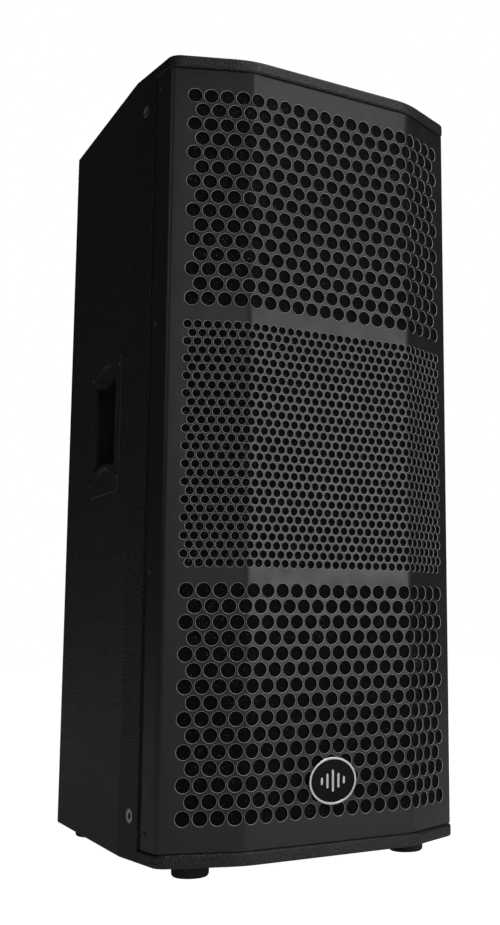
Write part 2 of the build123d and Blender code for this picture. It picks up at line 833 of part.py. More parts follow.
def input_plate():
    y = rear_y
    rim = RectangleRounded(plate_width, plate_height, plate_corner)
    plate = rear_plane(0).location * extrude(rim, -plate_thickness)
    rim -= RectangleRounded(cutout_width, cutout_height, plate_corner)
    gasket = rear_plane(plate_thickness).location * extrude(rim, -gasket_thickness)
    screws = []
    for x, z in plate_screw_places():
        plate -= rod_y(2.0 + fit, y - 5, y + 1, x, z)
        plate -= rod_y(4.2, y - 1.4, y + 1, x, z)
        gasket -= rod_y(2.0 + fit, y - 8, y + 1, x, z)
        screws.append(pan_screw(facing(x, y - 1.4, z, (0, 1)), 3.8, 1.3, 2.0, 14))
    for x in socket_xs:
        plate -= rod_y(14.0 + fit, y - 4, y + 1, x, mid_z)
        for i in (-1, 1):
            plate -= rod_y(1.5 + fit, y - 4, y + 1, x + 14.0 * i, mid_z + 14.0 * i)
            plate -= rod_y(2.6 + fit, y - 0.6, y + 1, x + 14.0 * i, mid_z + 14.0 * i)
    plate -= board(selector_x - 7, selector_x + 7, y - 4, y + 1, mid_z - 4, mid_z + 4)
    for i in (-1, 1):
        plate -= rod_y(1.5 + fit, y - 4, y + 1, selector_x + 14.0 * i, mid_z)
    for x, z in standoff_places():
        plate -= rod_y(1.5 + fit, y - 4, y + 1, x, z)
    save("input_plate", plate)
    save("input_gasket", gasket)
    save("input_plate_screws", *screws)


def speaker_sockets():
    """Four-pole locking loudspeaker sockets: a round cavity around a post with four contacts."""
    y = rear_y
    sockets = []
    screws = []
    for x in socket_xs:
        shell = rod_y(14, y - 26, y - plate_thickness, x, mid_z)
        rear_flange = board(x - 17, x + 17, y - plate_thickness - 3, y - plate_thickness, mid_z - 17, mid_z + 17)
        nose = rod_y(14, y - plate_thickness - 1, y - 0.4, x, mid_z)
        socket = shell + rear_flange + nose - rod_y(socket_cavity, y - 18, y, x, mid_z)
        socket -= board(x - 2, x + 2, y - 18, y, mid_z, mid_z + 13)
        socket += rod_y(5, y - 19, y - 4, x, mid_z)
        for i in (-1, 1):
            hole_x = x + 14.0 * i
            hole_z = mid_z + 14.0 * i
            socket -= rod_y(1.5 + fit, y - 30, y - plate_thickness + 1, hole_x, hole_z)
            screws.append(pan_screw(facing(hole_x, y, hole_z, (0, 1)).offset(-0.6), 2.6, 0.6, 1.5, 8))
        for i in (-1, 1):
            socket += board(x + i * 8 - 2.4, x + i * 8 + 2.4, y - 34, y - 25, mid_z - 0.4, mid_z + 0.4)
        sockets.append(socket)
    save("speaker_sockets", *sockets)
    save("socket_screws", *screws)


def selector_switch():
    """Two-position slide switch that selects full range or bi-amplified wiring."""
    y = rear_y - plate_thickness
    housing = board(selector_x - 12, selector_x + 12, y - 12, y, mid_z - 7, mid_z + 7)
    ears = board(selector_x - 18, selector_x + 18, y - 1, y, mid_z - 7, mid_z + 7)
    room = board(selector_x - 6.5, selector_x + 6.5, y - 8, y + 1, mid_z - 3.5, mid_z + 3.5)
    housing = housing + ears - room
    for i in (-1, 1):
        housing -= rod_y(1.5 + fit, y - 2, y + 1, selector_x + 14.0 * i, mid_z)
    lever_x = selector_x - 2.5
    slider = board(lever_x - 3.6, lever_x + 3.6, y - 7.6, y - 3, mid_z - 3.2, mid_z + 3.2)
    slider += board(lever_x - 2.2, lever_x + 2.2, y - 4, y + 2.4, mid_z - 3.2, mid_z + 3.2)
    save("selector_housing", housing)
    save("selector_slider", slider)


def standoff_places():
    return [(i * 62, mid_z + j * 40) for i in (-1, 1) for j in (-1, 1)]


def crossover():
    """Passive filter board on four standoffs behind the input plate."""
    half_x = 68.0
    half_z = 46.0
    card = board(-half_x, half_x, board_y, board_y + 1.6, mid_z - half_z, mid_z + half_z)
    posts = []
    for x, z in standoff_places():
        card -= rod_y(2.6, board_y - 1, board_y + 3, x, z)
        post = rod_y(4, board_y + 1.6, plate_face_y, x, z)
        posts.append(post + rod_y(2.5, board_y - 2, board_y + 1.6, x, z))
    coils = [
        tube_y(14, 27, board_y - 24, board_y, -34, mid_z + 4),
        tube_y(9, 18, board_y - 16, board_y, 20, mid_z + 22),
        tube_y(9, 18, board_y - 16, board_y, 22, mid_z - 20),
    ]
    capacitors = []
    for z, radius in ((24, 7.5), (6, 7.5), (-12, 5.5), (-26, 5.5)):
        centre = Pos(52, board_y - radius - 0.1, mid_z + z)
        capacitors.append(fillet((centre * Cylinder(radius, 12)).edges(), 1))
    resistors = []
    for z in (-40.0, 40.0):
        resistors.append(board(-58, -34, board_y - 9, board_y, mid_z + z - 5, mid_z + z + 5))
        resistors.append(board(-28, -4, board_y - 9, board_y, mid_z + z - 5, mid_z + z + 5))
    save("crossover_board", card)
    save("board_standoffs", *posts)
    save("crossover_coils", *coils)
    save("crossover_capacitors", *capacitors)
    save("crossover_resistors", *resistors)


# Wiring


def lead(points):
    """A round two-core lead along straight runs joined by tangent arcs."""
    radii = []
    for before, here, after in zip(points, points[1:], points[2:]):
        a = Vector(*here) - Vector(*before)
        b = Vector(*after) - Vector(*here)
        radii.append(0.45 * min(a.length, b.length) / tan(radians(a.get_angle(b) / 2)))
    path = FilletPolyline(*points, radius=radii)
    section = Plane(origin=path @ 0, z_dir=path % 0) * Circle(lead_radius)
    tube = sweep(section, path=path)
    ideal = pi * lead_radius ** 2 * path.length
    print("lead", round(path.length), "mm, volume ratio", round(tube.volume / ideal, 4), [round(r) for r in radii])
    return tube


def internal_leads():
    """Leads from the filter board to each woofer and to the compression driver."""
    start_y = board_y - 1
    woofer_leads = []
    for side in (1, -1):
        route = [
            (-10, start_y, 30), (-12, start_y - 32, 34), (-16, start_y - 60, 70), (-14, start_y - 88, 130),
            (-6, 76, 190), (4, 28, 232), (14, -35, 232),
        ]
        woofer_leads.append(lead([(x, y, mid_z + side * z) for x, y, z in route]))
    treble = lead([
        (0, start_y, mid_z), (2, start_y - 30, mid_z - 2), (8, 128, mid_z - 14), (18, 88, mid_z - 30),
        (22, 52, mid_z - 44), (22, 34, mid_z - 58), (22, 11, mid_z - 66),
    ])
    save("internal_leads", *woofer_leads, treble)


def build():
    os.makedirs("parts", exist_ok=True)
    shell_panels()
    side_walls()
    rear_panel()
    baffle_board()
    braces()
    acoustic_lining()
    grille()
    grille_foam()
    grille_screws()
    badge()
    handles()
    rigging_inserts()
    rubber_feet()
    woofers()
    horn()
    compression_driver()
    port_tubes()
    input_plate()
    speaker_sockets()
    selector_switch()
    crossover()
    internal_leads()


build()
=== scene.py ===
import bmesh
import bpy
import json
from math import atan2, cos, pi, radians, sin, tan
from mathutils import Euler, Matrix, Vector


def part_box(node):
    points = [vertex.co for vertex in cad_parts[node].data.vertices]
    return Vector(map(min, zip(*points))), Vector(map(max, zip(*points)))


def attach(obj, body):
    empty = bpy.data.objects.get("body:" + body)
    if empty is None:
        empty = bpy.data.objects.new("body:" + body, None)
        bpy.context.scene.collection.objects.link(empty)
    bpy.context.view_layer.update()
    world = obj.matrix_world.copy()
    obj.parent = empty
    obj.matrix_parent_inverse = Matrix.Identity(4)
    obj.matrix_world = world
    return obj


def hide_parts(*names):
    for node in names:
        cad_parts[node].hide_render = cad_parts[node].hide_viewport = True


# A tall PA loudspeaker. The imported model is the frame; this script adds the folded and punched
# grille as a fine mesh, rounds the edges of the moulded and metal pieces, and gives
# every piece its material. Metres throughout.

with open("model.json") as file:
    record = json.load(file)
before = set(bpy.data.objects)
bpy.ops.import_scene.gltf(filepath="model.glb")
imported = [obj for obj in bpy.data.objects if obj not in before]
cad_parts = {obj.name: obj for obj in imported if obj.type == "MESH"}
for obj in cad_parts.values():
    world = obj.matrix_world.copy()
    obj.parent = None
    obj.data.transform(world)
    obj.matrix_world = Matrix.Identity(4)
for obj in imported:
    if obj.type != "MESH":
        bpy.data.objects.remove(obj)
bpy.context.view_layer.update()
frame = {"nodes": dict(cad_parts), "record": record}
scene = bpy.context.scene
nodes = frame["nodes"]
slot_of = {row["node"]: row["material_slot"] for row in frame["record"]["subparts"]}
bodies = frame["record"]["behaviour"]["bodies"]
body_of = {node: body for body, members in bodies.items() for node in members}
MM = 0.001


# Camera, floor and lights

CAMERA_PLACE = (-0.9946, -1.8025, 0.3285)
CAMERA_YAW = 34.223
CAMERA_PITCH = 8.938
CAMERA_ROLL = -0.186
SENSOR_WIDTH = 36.0
FOCAL_SHARE = 1.3922  # focal length as a share of the sensor's longer side
SHIFT_X = -0.1243
SHIFT_Y = -0.0405
LIGHTS = (  # name, bearing to the right of the front and elevation in degrees, power in watts
    ("low_key", 30, 5, 17.4),
    ("high_key", 30, 35, 7.6),
    ("overhead", 30, 60, 24.0),
    ("front_left", -18, 20, 3.2),
    ("low_left", -18, 3, 2.6),
    ("left", -70, 20, 3.4),
)
LIGHT_TARGET = Vector((0.0, 0.0, 0.6))
LIGHT_DISTANCE = 3.0
LIGHT_SIZE = 1.2
FLOOR_HALF = 9.0
FLOOR_GLOW = 0.08  # what it gives to the object; the camera sees it nearly white
WORLD_GLOW = 0.018  # likewise


def camera():
    data = bpy.data.cameras.new("camera")
    data.sensor_width = SENSOR_WIDTH
    data.lens = SENSOR_WIDTH * FOCAL_SHARE
    data.shift_x = SHIFT_X
    data.shift_y = SHIFT_Y
    data.clip_end = 50.0
    view = bpy.data.objects.new("camera", data)
    view.location = CAMERA_PLACE
    turn = Euler((radians(90 + CAMERA_PITCH), 0, radians(-CAMERA_YAW)), "XYZ").to_matrix()
    roll = Euler((0, 0, radians(CAMERA_ROLL)), "XYZ").to_matrix()
    view.rotation_euler = (turn @ roll).to_euler()
    scene.collection.objects.link(view)
    scene.camera = view


def softbox(name, bearing, elevation, power):
    data = bpy.data.lights.new(name, "AREA")
    data.shape = "SQUARE"
    data.size = LIGHT_SIZE
    data.energy = power
    light = bpy.data.objects.new(name, data)
    turn = Euler((radians(-elevation), 0, radians(bearing))).to_matrix()
    away = turn @ Vector((0, -LIGHT_DISTANCE, 0))
    light.location = LIGHT_TARGET + away
    light.rotation_euler = away.to_track_quat("Z", "Y").to_euler()
    light.visible_camera = False
    scene.collection.objects.link(light)


def studio():
    """The lights, and a world that is dim in light and reflections but white to the camera."""
    for row in LIGHTS:
        softbox(*row)
    world = bpy.data.worlds.new("studio")
    world.use_nodes = True
    tree = world.node_tree
    tree.nodes.clear()
    output = tree.nodes.new("ShaderNodeOutputWorld")
    path = tree.nodes.new("ShaderNodeLightPath")
    mix = tree.nodes.new("ShaderNodeMixShader")
    tree.links.new(path.outputs["Is Camera Ray"], mix.inputs[0])
    for socket, strength in ((mix.inputs[1], WORLD_GLOW), (mix.inputs[2], 1.0)):
        background = tree.nodes.new("ShaderNodeBackground")
        background.inputs["Color"].default_value = (1, 1, 1, 1)
        background.inputs["Strength"].default_value = strength
        tree.links.new(background.outputs[0], socket)
    tree.links.new(mix.outputs[0], output.inputs["Surface"])
    scene.world = world
    scene.view_settings.view_transform = "Standard"


def floor():
    """A pale floor, nearly white to the camera, that lights the cabinet a little."""
    signs = ((-1, -1), (1, -1), (1, 1), (-1, 1))
    mesh = bpy.data.meshes.new("floor")
    mesh.from_pydata([(x * FLOOR_HALF, y * FLOOR_HALF, 0) for x, y in signs], [], [(0, 1, 2, 3)])
    plane = bpy.data.objects.new("floor", mesh)
    scene.collection.objects.link(plane)
    shade = Shader("floor", (0.8, 0.8, 0.8), 0.9)
    shade.set(Emission_Color=(1, 1, 1, 1))
    in_view = shade.tree.nodes.new("ShaderNodeLightPath").outputs["Is Camera Ray"]
    glow = shade.remap(in_view, 0, 1, FLOOR_GLOW, 1.0)
    shade.tree.links.new(glow, shade.bsdf.inputs["Emission Strength"])
    mesh.materials.append(shade.material)


# Materials


def scaled(colour, share):
    return tuple(share * c for c in colour)


class Shader:
    """A Principled material built up a few nodes at a time, in the object's own coordinates."""

    def __init__(self, name, colour, roughness, metallic=0.0):
        self.material = bpy.data.materials.new(name)
        self.material.use_nodes = True
        self.tree = self.material.node_tree
        self.bsdf = self.tree.nodes["Principled BSDF"]
        self.bsdf.inputs["Base Color"].default_value = (*colour, 1)
        self.bsdf.inputs["Roughness"].default_value = roughness
        self.bsdf.inputs["Metallic"].default_value = metallic
        self.place = self.tree.nodes.new("ShaderNodeTexCoord").outputs["Object"]
        self.normal = None

    def node(self, kind, **inputs):
        made = self.tree.nodes.new(kind)
        for key, value in inputs.items():
            socket = made.inputs[key.replace("_", " ")]
            if isinstance(value, bpy.types.NodeSocket):
                self.tree.links.new(value, socket)
            else:
                socket.default_value = value
        return made

    def noise(self, scale, detail=2.0, roughness=0.5, stretch=None):
        place = self.place
        if stretch:
            mapping = self.node("ShaderNodeMapping", Vector=place)
            mapping.inputs["Scale"].default_value = stretch
            place = mapping.outputs[0]
        made = self.node(
            "ShaderNodeTexNoise", Vector=place, Scale=scale, Detail=detail, Roughness=roughness
        )
        return made.outputs["Fac"]

    def cells(self, scale, feature="F1"):
        made = self.node("ShaderNodeTexVoronoi", Vector=self.place, Scale=scale)
        made.feature = feature
        return made.outputs["Distance"]

    def remap(self, value, low, high, to_low, to_high):
        made = self.node("ShaderNodeMapRange", Value=value)
        ends = {"From Min": low, "From Max": high, "To Min": to_low, "To Max": to_high}
        for key, number in ends.items():
            made.inputs[key].default_value = number
        return made.outputs[0]

    def blend(self, factor, first, second):
        made = self.tree.nodes.new("ShaderNodeMix")
        made.data_type = "RGBA"
        self.tree.links.new(factor, made.inputs[0])
        for socket, colour in ((made.inputs[6], first), (made.inputs[7], second)):
            if isinstance(colour, bpy.types.NodeSocket):
                self.tree.links.new(colour, socket)
            else:
                socket.default_value = (*colour, 1)
        return made.outputs[2]

    def attribute(self, name):
        made = self.tree.nodes.new("ShaderNodeAttribute")
        made.attribute_name = name
        return made.outputs["Fac"]

    def colour(self, source):
        self.tree.links.new(source, self.bsdf.inputs["Base Color"])

    def rough(self, source):
        self.tree.links.new(source, self.bsdf.inputs["Roughness"])

    def bump(self, height, strength, distance):
        made = self.node("ShaderNodeBump", Height=height, Strength=strength, Distance=distance)
        if self.normal:
            self.tree.links.new(self.normal, made.inputs["Normal"])
        self.normal = made.outputs[0]
        self.tree.links.new(self.normal, self.bsdf.inputs["Normal"])

    def set(self, **inputs):
        for key, value in inputs.items():
            self.bsdf.inputs[key.replace("_", " ")].default_value = value
        return self


def textured_paint(name):
    """Tough sprayed cabinet paint: a fine pebble bump, with painted highlights: lighter flecks in the
    colour stand for glints.
    """
    shade = Shader(name, (0.012, 0.012, 0.013), 0.45)
    # painted highlight: lighter flecks scattered through the colour stand for glints on the pebble
    painted_speckle_glints = shade.remap(shade.noise(480.0, 3.0, 0.6), 0.45, 0.7, 0, 1)
    shade.colour(shade.blend(painted_speckle_glints, (0.004, 0.004, 0.0045), (0.045, 0.045, 0.046)))
    shade.rough(shade.remap(shade.noise(420.0, 3.0), 0.3, 0.7, 0.3, 0.56))
    shade.bump(shade.cells(440.0), 0.8, 0.001)
    shade.bump(shade.noise(1100.0, 2.0, 0.6), 0.3, 0.00025)
    return shade.material


def powder_coat(name, colour, roughness):
    shade = Shader(name, colour, roughness)
    speckle = shade.remap(shade.noise(900.0, 2.0), 0.4, 0.6, 0, 1)
    shade.colour(shade.blend(speckle, scaled(colour, 0.8), scaled(colour, 1.25)))
    shade.rough(shade.remap(shade.noise(35.0, 3.0), 0.35, 0.65, roughness - 0.05, roughness + 0.07))
    shade.bump(shade.noise(2200.0, 2.0, 0.6), 0.25, 0.00006)
    return shade.material


def punched_coat(name):
    """The grille's powder coat, with a painted highlight: the rounded rims of its holes are coloured
    light grey.
    """
    shade = Shader(name, (0.022, 0.022, 0.023), 0.34)
    speckle = shade.remap(shade.noise(900.0, 2.0), 0.4, 0.6, 0, 1)
    coat = shade.blend(speckle, (0.013, 0.013, 0.0135), (0.021, 0.021, 0.022))
    # painted highlight: faces on the holes' rims are coloured light grey instead of lit by the lamps
    shade.colour(shade.blend(shade.attribute("rim"), coat, (0.62, 0.62, 0.63)))
    shade.rough(shade.remap(shade.noise(35.0, 3.0), 0.35, 0.65, 0.3, 0.38))
    shade.bump(shade.noise(2200.0, 2.0, 0.6), 0.25, 0.00006)
    return shade.material


def open_foam(name):
    """Reticulated foam: nearly black, with painted glints: a few light flecks in the colour, gathered
    in patches.
    """
    shade = Shader(name, (0.002, 0.002, 0.002), 0.75).set(Specular_IOR_Level=0.12)
    struts = shade.cells(700.0, "DISTANCE_TO_EDGE")
    patches = shade.remap(shade.noise(28.0, 2.0), 0.45, 0.75, 0.0, 0.09)
    # painted highlight: sparse light flecks in the colour stand for glints on the foam's struts
    glints = shade.node("ShaderNodeMath", Value=shade.noise(430.0, 1.0, 0.5))
    glints.operation = "ADD"
    shade.tree.links.new(patches, glints.inputs[1])
    painted_strut_glints = shade.remap(glints.outputs[0], 0.68, 0.8, 0, 1)
    shade.colour(shade.blend(painted_strut_glints, (0.0015, 0.0015, 0.0015), (0.1, 0.1, 0.1)))
    shade.bump(struts, 0.9, 0.0009)
    shade.bump(shade.noise(350.0, 3.0), 0.5, 0.001)
    return shade.material


def moulded_plastic(name, colour=(0.02, 0.02, 0.021), roughness=0.42):
    shade = Shader(name, colour, roughness)
    shade.rough(shade.remap(shade.noise(60.0, 3.0), 0.35, 0.65, roughness - 0.06, roughness + 0.08))
    shade.colour(shade.blend(shade.noise(45.0, 3.0), scaled(colour, 0.85), scaled(colour, 1.2)))
    shade.bump(shade.cells(1500.0), 0.18, 0.00012)
    return shade.material


def rubber(name):
    shade = Shader(name, (0.018, 0.018, 0.018), 0.7)
    shade.rough(shade.remap(shade.noise(80.0, 3.0), 0.3, 0.7, 0.6, 0.8))
    shade.colour(shade.blend(shade.noise(120.0, 4.0), (0.013, 0.013, 0.013), (0.026, 0.026, 0.026)))
    shade.bump(shade.noise(900.0, 3.0), 0.2, 0.0001)
    return shade.material


def metal(name, colour, roughness, grain=(1, 1, 1), streak=0.08):
    """Plated or bare metal, brushed along the axis in which grain is small."""
    shade = Shader(name, colour, roughness, 1.0)
    lines = shade.noise(700.0, 3.0, 0.6, grain)
    shade.rough(shade.remap(lines, 0.3, 0.7, roughness - streak, roughness + streak))
    shade.colour(shade.blend(shade.noise(60.0, 3.0), scaled(colour, 0.85), colour))
    shade.bump(lines, 0.12, 0.00003)
    return shade.material


def gloss(name, colour, roughness=0.12):
    shade = Shader(name, colour, roughness).set(Specular_IOR_Level=0.15)
    shade.rough(shade.remap(shade.noise(90.0, 4.0), 0.3, 0.7, roughness * 0.7, roughness * 1.5))
    shade.bump(shade.noise(140.0, 2.0), 0.05, 0.00005)
    return shade.material


def cloth(name, first, second):
    """Woven cloth, from two crossed sets of threads."""
    shade = Shader(name, first, 0.85).set(Sheen_Weight=0.15)
    warp = shade.noise(1400.0, 1.0, 0.5, (1.0, 1.0, 0.12))
    weft = shade.noise(1400.0, 1.0, 0.5, (0.12, 1.0, 1.0))
    weave = shade.node("ShaderNodeMath", Value=warp)
    weave.operation = "MULTIPLY"
    shade.tree.links.new(weft, weave.inputs[1])
    shade.colour(shade.blend(shade.remap(weave.outputs[0], 0.1, 0.4, 0, 1), first, second))
    shade.bump(weave.outputs[0], 0.6, 0.0004)
    return shade.material


def felt(name):
    shade = Shader(name, (0.7, 0.7, 0.67), 0.95).set(Sheen_Weight=0.3)
    fibres = shade.noise(260.0, 5.0, 0.7, (1.0, 0.25, 1.0))
    tufts = shade.remap(fibres, 0.3, 0.7, 0, 1)
    shade.colour(shade.blend(tufts, (0.55, 0.55, 0.52), (0.8, 0.8, 0.77)))
    shade.bump(fibres, 0.8, 0.002)
    return shade.material


def plywood(name):
    """Bare birch: long faint grain with darker pores."""
    shade = Shader(name, (0.6, 0.45, 0.28), 0.6)
    grain = shade.noise(90.0, 5.0, 0.6, (1.0, 0.06, 1.0))
    pores = shade.remap(grain, 0.3, 0.7, 0, 1)
    shade.colour(shade.blend(pores, (0.42, 0.29, 0.16), (0.68, 0.53, 0.35)))
    shade.rough(shade.remap(grain, 0.3, 0.7, 0.5, 0.7))
    shade.bump(grain, 0.3, 0.0003)
    return shade.material


def paper_pulp(name):
    shade = Shader(name, (0.03, 0.03, 0.03), 0.8)
    pulp = shade.noise(500.0, 5.0, 0.7)
    flecks = shade.remap(pulp, 0.35, 0.65, 0, 1)
    shade.colour(shade.blend(flecks, (0.02, 0.02, 0.02), (0.05, 0.05, 0.05)))
    shade.bump(pulp, 0.5, 0.0004)
    return shade.material


def circuit_board(name):
    """Green lacquered board with tracks a shade lighter."""
    shade = Shader(name, (0.03, 0.16, 0.07), 0.35).set(Coat_Weight=0.3)
    tracks = shade.remap(shade.cells(160.0, "DISTANCE_TO_EDGE"), 0.04, 0.08, 1, 0)
    shade.colour(shade.blend(tracks, (0.02, 0.12, 0.05), (0.08, 0.3, 0.12)))
    shade.rough(shade.remap(shade.noise(150.0), 0.3, 0.7, 0.28, 0.45))
    shade.bump(tracks, 0.3, 0.00005)
    return shade.material


def wound_copper(name, colour=(0.7, 0.32, 0.16)):
    shade = Shader(name, colour, 0.3, 1.0)
    turns = shade.noise(1800.0, 1.0, 0.4, (0.1, 1.0, 0.1))
    # painted shade: the colour darkens in the gaps between turns, where the bump sinks
    painted_gap_shade = shade.remap(turns, 0.35, 0.65, 0, 1)
    shade.colour(shade.blend(painted_gap_shade, scaled(colour, 0.45), colour))
    shade.rough(shade.remap(turns, 0.3, 0.7, 0.22, 0.45))
    shade.bump(turns, 0.5, 0.0002)
    return shade.material


def ceramic(name, colour, roughness=0.55):
    shade = Shader(name, colour, roughness)
    speckle = shade.noise(600.0, 4.0, 0.7)
    grains = shade.remap(speckle, 0.35, 0.6, 0, 1)
    shade.colour(shade.blend(grains, scaled(colour, 0.8), colour))
    shade.rough(shade.remap(speckle, 0.3, 0.7, roughness - 0.1, roughness + 0.1))
    shade.bump(speckle, 0.25, 0.0001)
    return shade.material


def make_materials():
    return {
        "cabinet_paint": textured_paint("cabinet_paint"),
        "bare_ply": plywood("bare_ply"),
        "grille_steel": punched_coat("grille_steel"),
        "foam_black": open_foam("foam_black"),
        "wadding": felt("wadding"),
        "screw_black": metal("screw_black", (0.12, 0.12, 0.125), 0.42),
        "zinc_steel": metal("zinc_steel", (0.72, 0.73, 0.75), 0.3),
        "badge_black": gloss("badge_black", (0.003, 0.003, 0.0032)),
        "badge_chrome": metal("badge_chrome", (0.86, 0.86, 0.87), 0.16, streak=0.04),
        "moulded_black": moulded_plastic("moulded_black"),
        "rubber_black": rubber("rubber_black"),
        "plate_paint": powder_coat("plate_paint", (0.03, 0.03, 0.032), 0.38),
        "socket_plastic": moulded_plastic("socket_plastic", (0.025, 0.025, 0.027), 0.36),
        "slider_plastic": moulded_plastic("slider_plastic", (0.6, 0.6, 0.57), 0.4),
        "board_green": circuit_board("board_green"),
        "copper_wire": wound_copper("copper_wire"),
        "capacitor_film": gloss("capacitor_film", (0.5, 0.38, 0.06), 0.3),
        "resistor_ceramic": ceramic("resistor_ceramic", (0.8, 0.79, 0.74)),
        "lead_sheath": rubber("lead_sheath"),
        "basket_steel": powder_coat("basket_steel", (0.02, 0.02, 0.02), 0.35),
        "cone_paper": paper_pulp("cone_paper"),
        "surround_cloth": cloth("surround_cloth", (0.015, 0.015, 0.015), (0.04, 0.04, 0.04)),
        "spider_cloth": cloth("spider_cloth", (0.35, 0.24, 0.09), (0.6, 0.45, 0.22)),
        "coil_former": wound_copper("coil_former", (0.7, 0.55, 0.42)),
        "ferrite": ceramic("ferrite", (0.07, 0.07, 0.075), 0.6),
        "magnet_steel": metal("magnet_steel", (0.6, 0.61, 0.63), 0.35, (0.1, 1.0, 1.0)),
        "gasket_foam": rubber("gasket_foam"),
        "horn_plastic": moulded_plastic("horn_plastic"),
        "diaphragm_film": metal("diaphragm_film", (0.62, 0.63, 0.66), 0.25),
        "port_plastic": moulded_plastic("port_plastic"),
    }


# Shapes taken over from the CAD nodes

MERGE_DISTANCE = 2e-6
FLAT_ANGLE = radians(0.4)
BEVEL_ANGLE = radians(35)
SHADING_ANGLE = radians(40)


def finish_piece(piece, node):
    """Give a new piece its place in the frame: attach it to the body it rides on, hide the node it
    replaces, and give it that node's material if it has none.
    """
    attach(piece, body_of[node])
    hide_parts(node)
    if not piece.data.materials:
        piece.data.materials.append(materials[slot_of[node]])


def softened(node, width):
    """The node's own shape with its sharp edges rounded, as a new piece."""
    mesh = nodes[node].data.copy()
    mesh.name = node + "_rounded"
    mesh.materials.clear()
    shape = bmesh.new()
    shape.from_mesh(mesh)
    bmesh.ops.remove_doubles(shape, verts=shape.verts, dist=MERGE_DISTANCE)
    bmesh.ops.dissolve_limit(
        shape, angle_limit=FLAT_ANGLE, verts=shape.verts, edges=shape.edges,
        use_dissolve_boundaries=False,
    )
    sharp = [e for e in shape.edges if e.is_manifold and e.calc_face_angle(0) > BEVEL_ANGLE]
    bmesh.ops.bevel(
        shape, geom=sharp, offset=width, offset_type="OFFSET", segments=2, profile=0.5,
        affect="EDGES", clamp_overlap=True,
    )
    shape.to_mesh(mesh)
    shape.free()
    mesh.polygons.foreach_set("use_smooth", [True] * len(mesh.polygons))
    mesh.set_sharp_from_angle(angle=SHADING_ANGLE)
    piece = bpy.data.objects.new(node + "_rounded", mesh)
    scene.collection.objects.link(piece)
    weighted = piece.modifiers.new("even_faces", "WEIGHTED_NORMAL")
    weighted.keep_sharp = True
    finish_piece(piece, node)


# Grille

GRILLE_FOLD = 138.0 * MM  # from the middle to each fold
FACET = radians(23.5)
SHEET = 1.5 * MM
FOLD_RADIUS = 30.0 * MM
FOLD_STEPS = 8
BEND_RADIUS = 10.0 * MM
BEND_STEPS = 9
RIM = 0.36 * MM  # the width of a hole's rounded rim
LARGE = {
    "pitch": 23.0 * MM, "row": 21.28 * MM, "radius": 10.15 * MM,
    "rows": 15, "columns": 20, "sides": 28,
}
SMALL = {
    "pitch": 13.97 * MM, "row": 12.24 * MM, "radius": 5.85 * MM,
    "rows": 28, "columns": 33, "sides": 20,
}
LARGE_START = 202.35 * MM  # from the pattern's middle to the nearest row of large holes
PATTERN_RISE = 1.9 * MM  # of the pattern's middle above the sheet's


class Fold:
    """Maps the flat sheet, measured along its outer face from the middle, to its folded place."""

    def __init__(self):
        low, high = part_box("grille")
        self.half_x = high.x
        self.front = low.y
        self.back = high.y
        self.corner_y = self.front + (self.half_x - GRILLE_FOLD) * tan(FACET)
        bend = pi / 2 - FACET
        fold_cut = FOLD_RADIUS * tan(FACET / 2)
        bend_cut = BEND_RADIUS * tan(bend / 2)
        facet_run = (self.half_x - GRILLE_FOLD) / cos(FACET) - fold_cut - bend_cut
        flange_run = self.back - self.corner_y - bend_cut
        flat_run = GRILLE_FOLD - fold_cut
        self.runs = (flat_run, FOLD_RADIUS * FACET, facet_run, BEND_RADIUS * bend, flange_run)
        self.width = sum(self.runs)

    def creases(self):
        """Where the flat sheet is divided so that it can bend smoothly."""
        flat, fold, facet, bend, flange = self.runs
        steps = [flat + fold * i / FOLD_STEPS for i in range(FOLD_STEPS + 1)]
        start = flat + fold + facet
        return steps + [start + bend * i / BEND_STEPS for i in range(BEND_STEPS + 1)]

    def place(self, u, depth):
        """Plan position of a point at u along the sheet and at a depth below its outer face."""
        side = 1 if u >= 0 else -1
        u = abs(u)
        flat, fold, facet, bend, flange = self.runs
        if u <= flat:
            return side * u, self.front + depth
        centre = (flat, self.front + FOLD_RADIUS)
        turn = min((u - flat) / FOLD_RADIUS, FACET)
        x = centre[0] + (FOLD_RADIUS - depth) * sin(turn)
        y = centre[1] - (FOLD_RADIUS - depth) * cos(turn)
        u -= flat + fold
        if u > 0:
            run = min(u, facet)
            x += run * cos(FACET)
            y += run * sin(FACET)
            u -= facet
        if u > 0:
            outer_x = x + depth * sin(FACET)
            outer_y = y - depth * cos(FACET)
            centre = (outer_x - BEND_RADIUS * sin(FACET), outer_y + BEND_RADIUS * cos(FACET))
            turn = min(FACET + u / BEND_RADIUS, pi / 2)
            x = centre[0] + (BEND_RADIUS - depth) * sin(turn)
            y = centre[1] - (BEND_RADIUS - depth) * cos(turn)
            u -= bend
        if u > 0:
            y += u
        return side * x, y


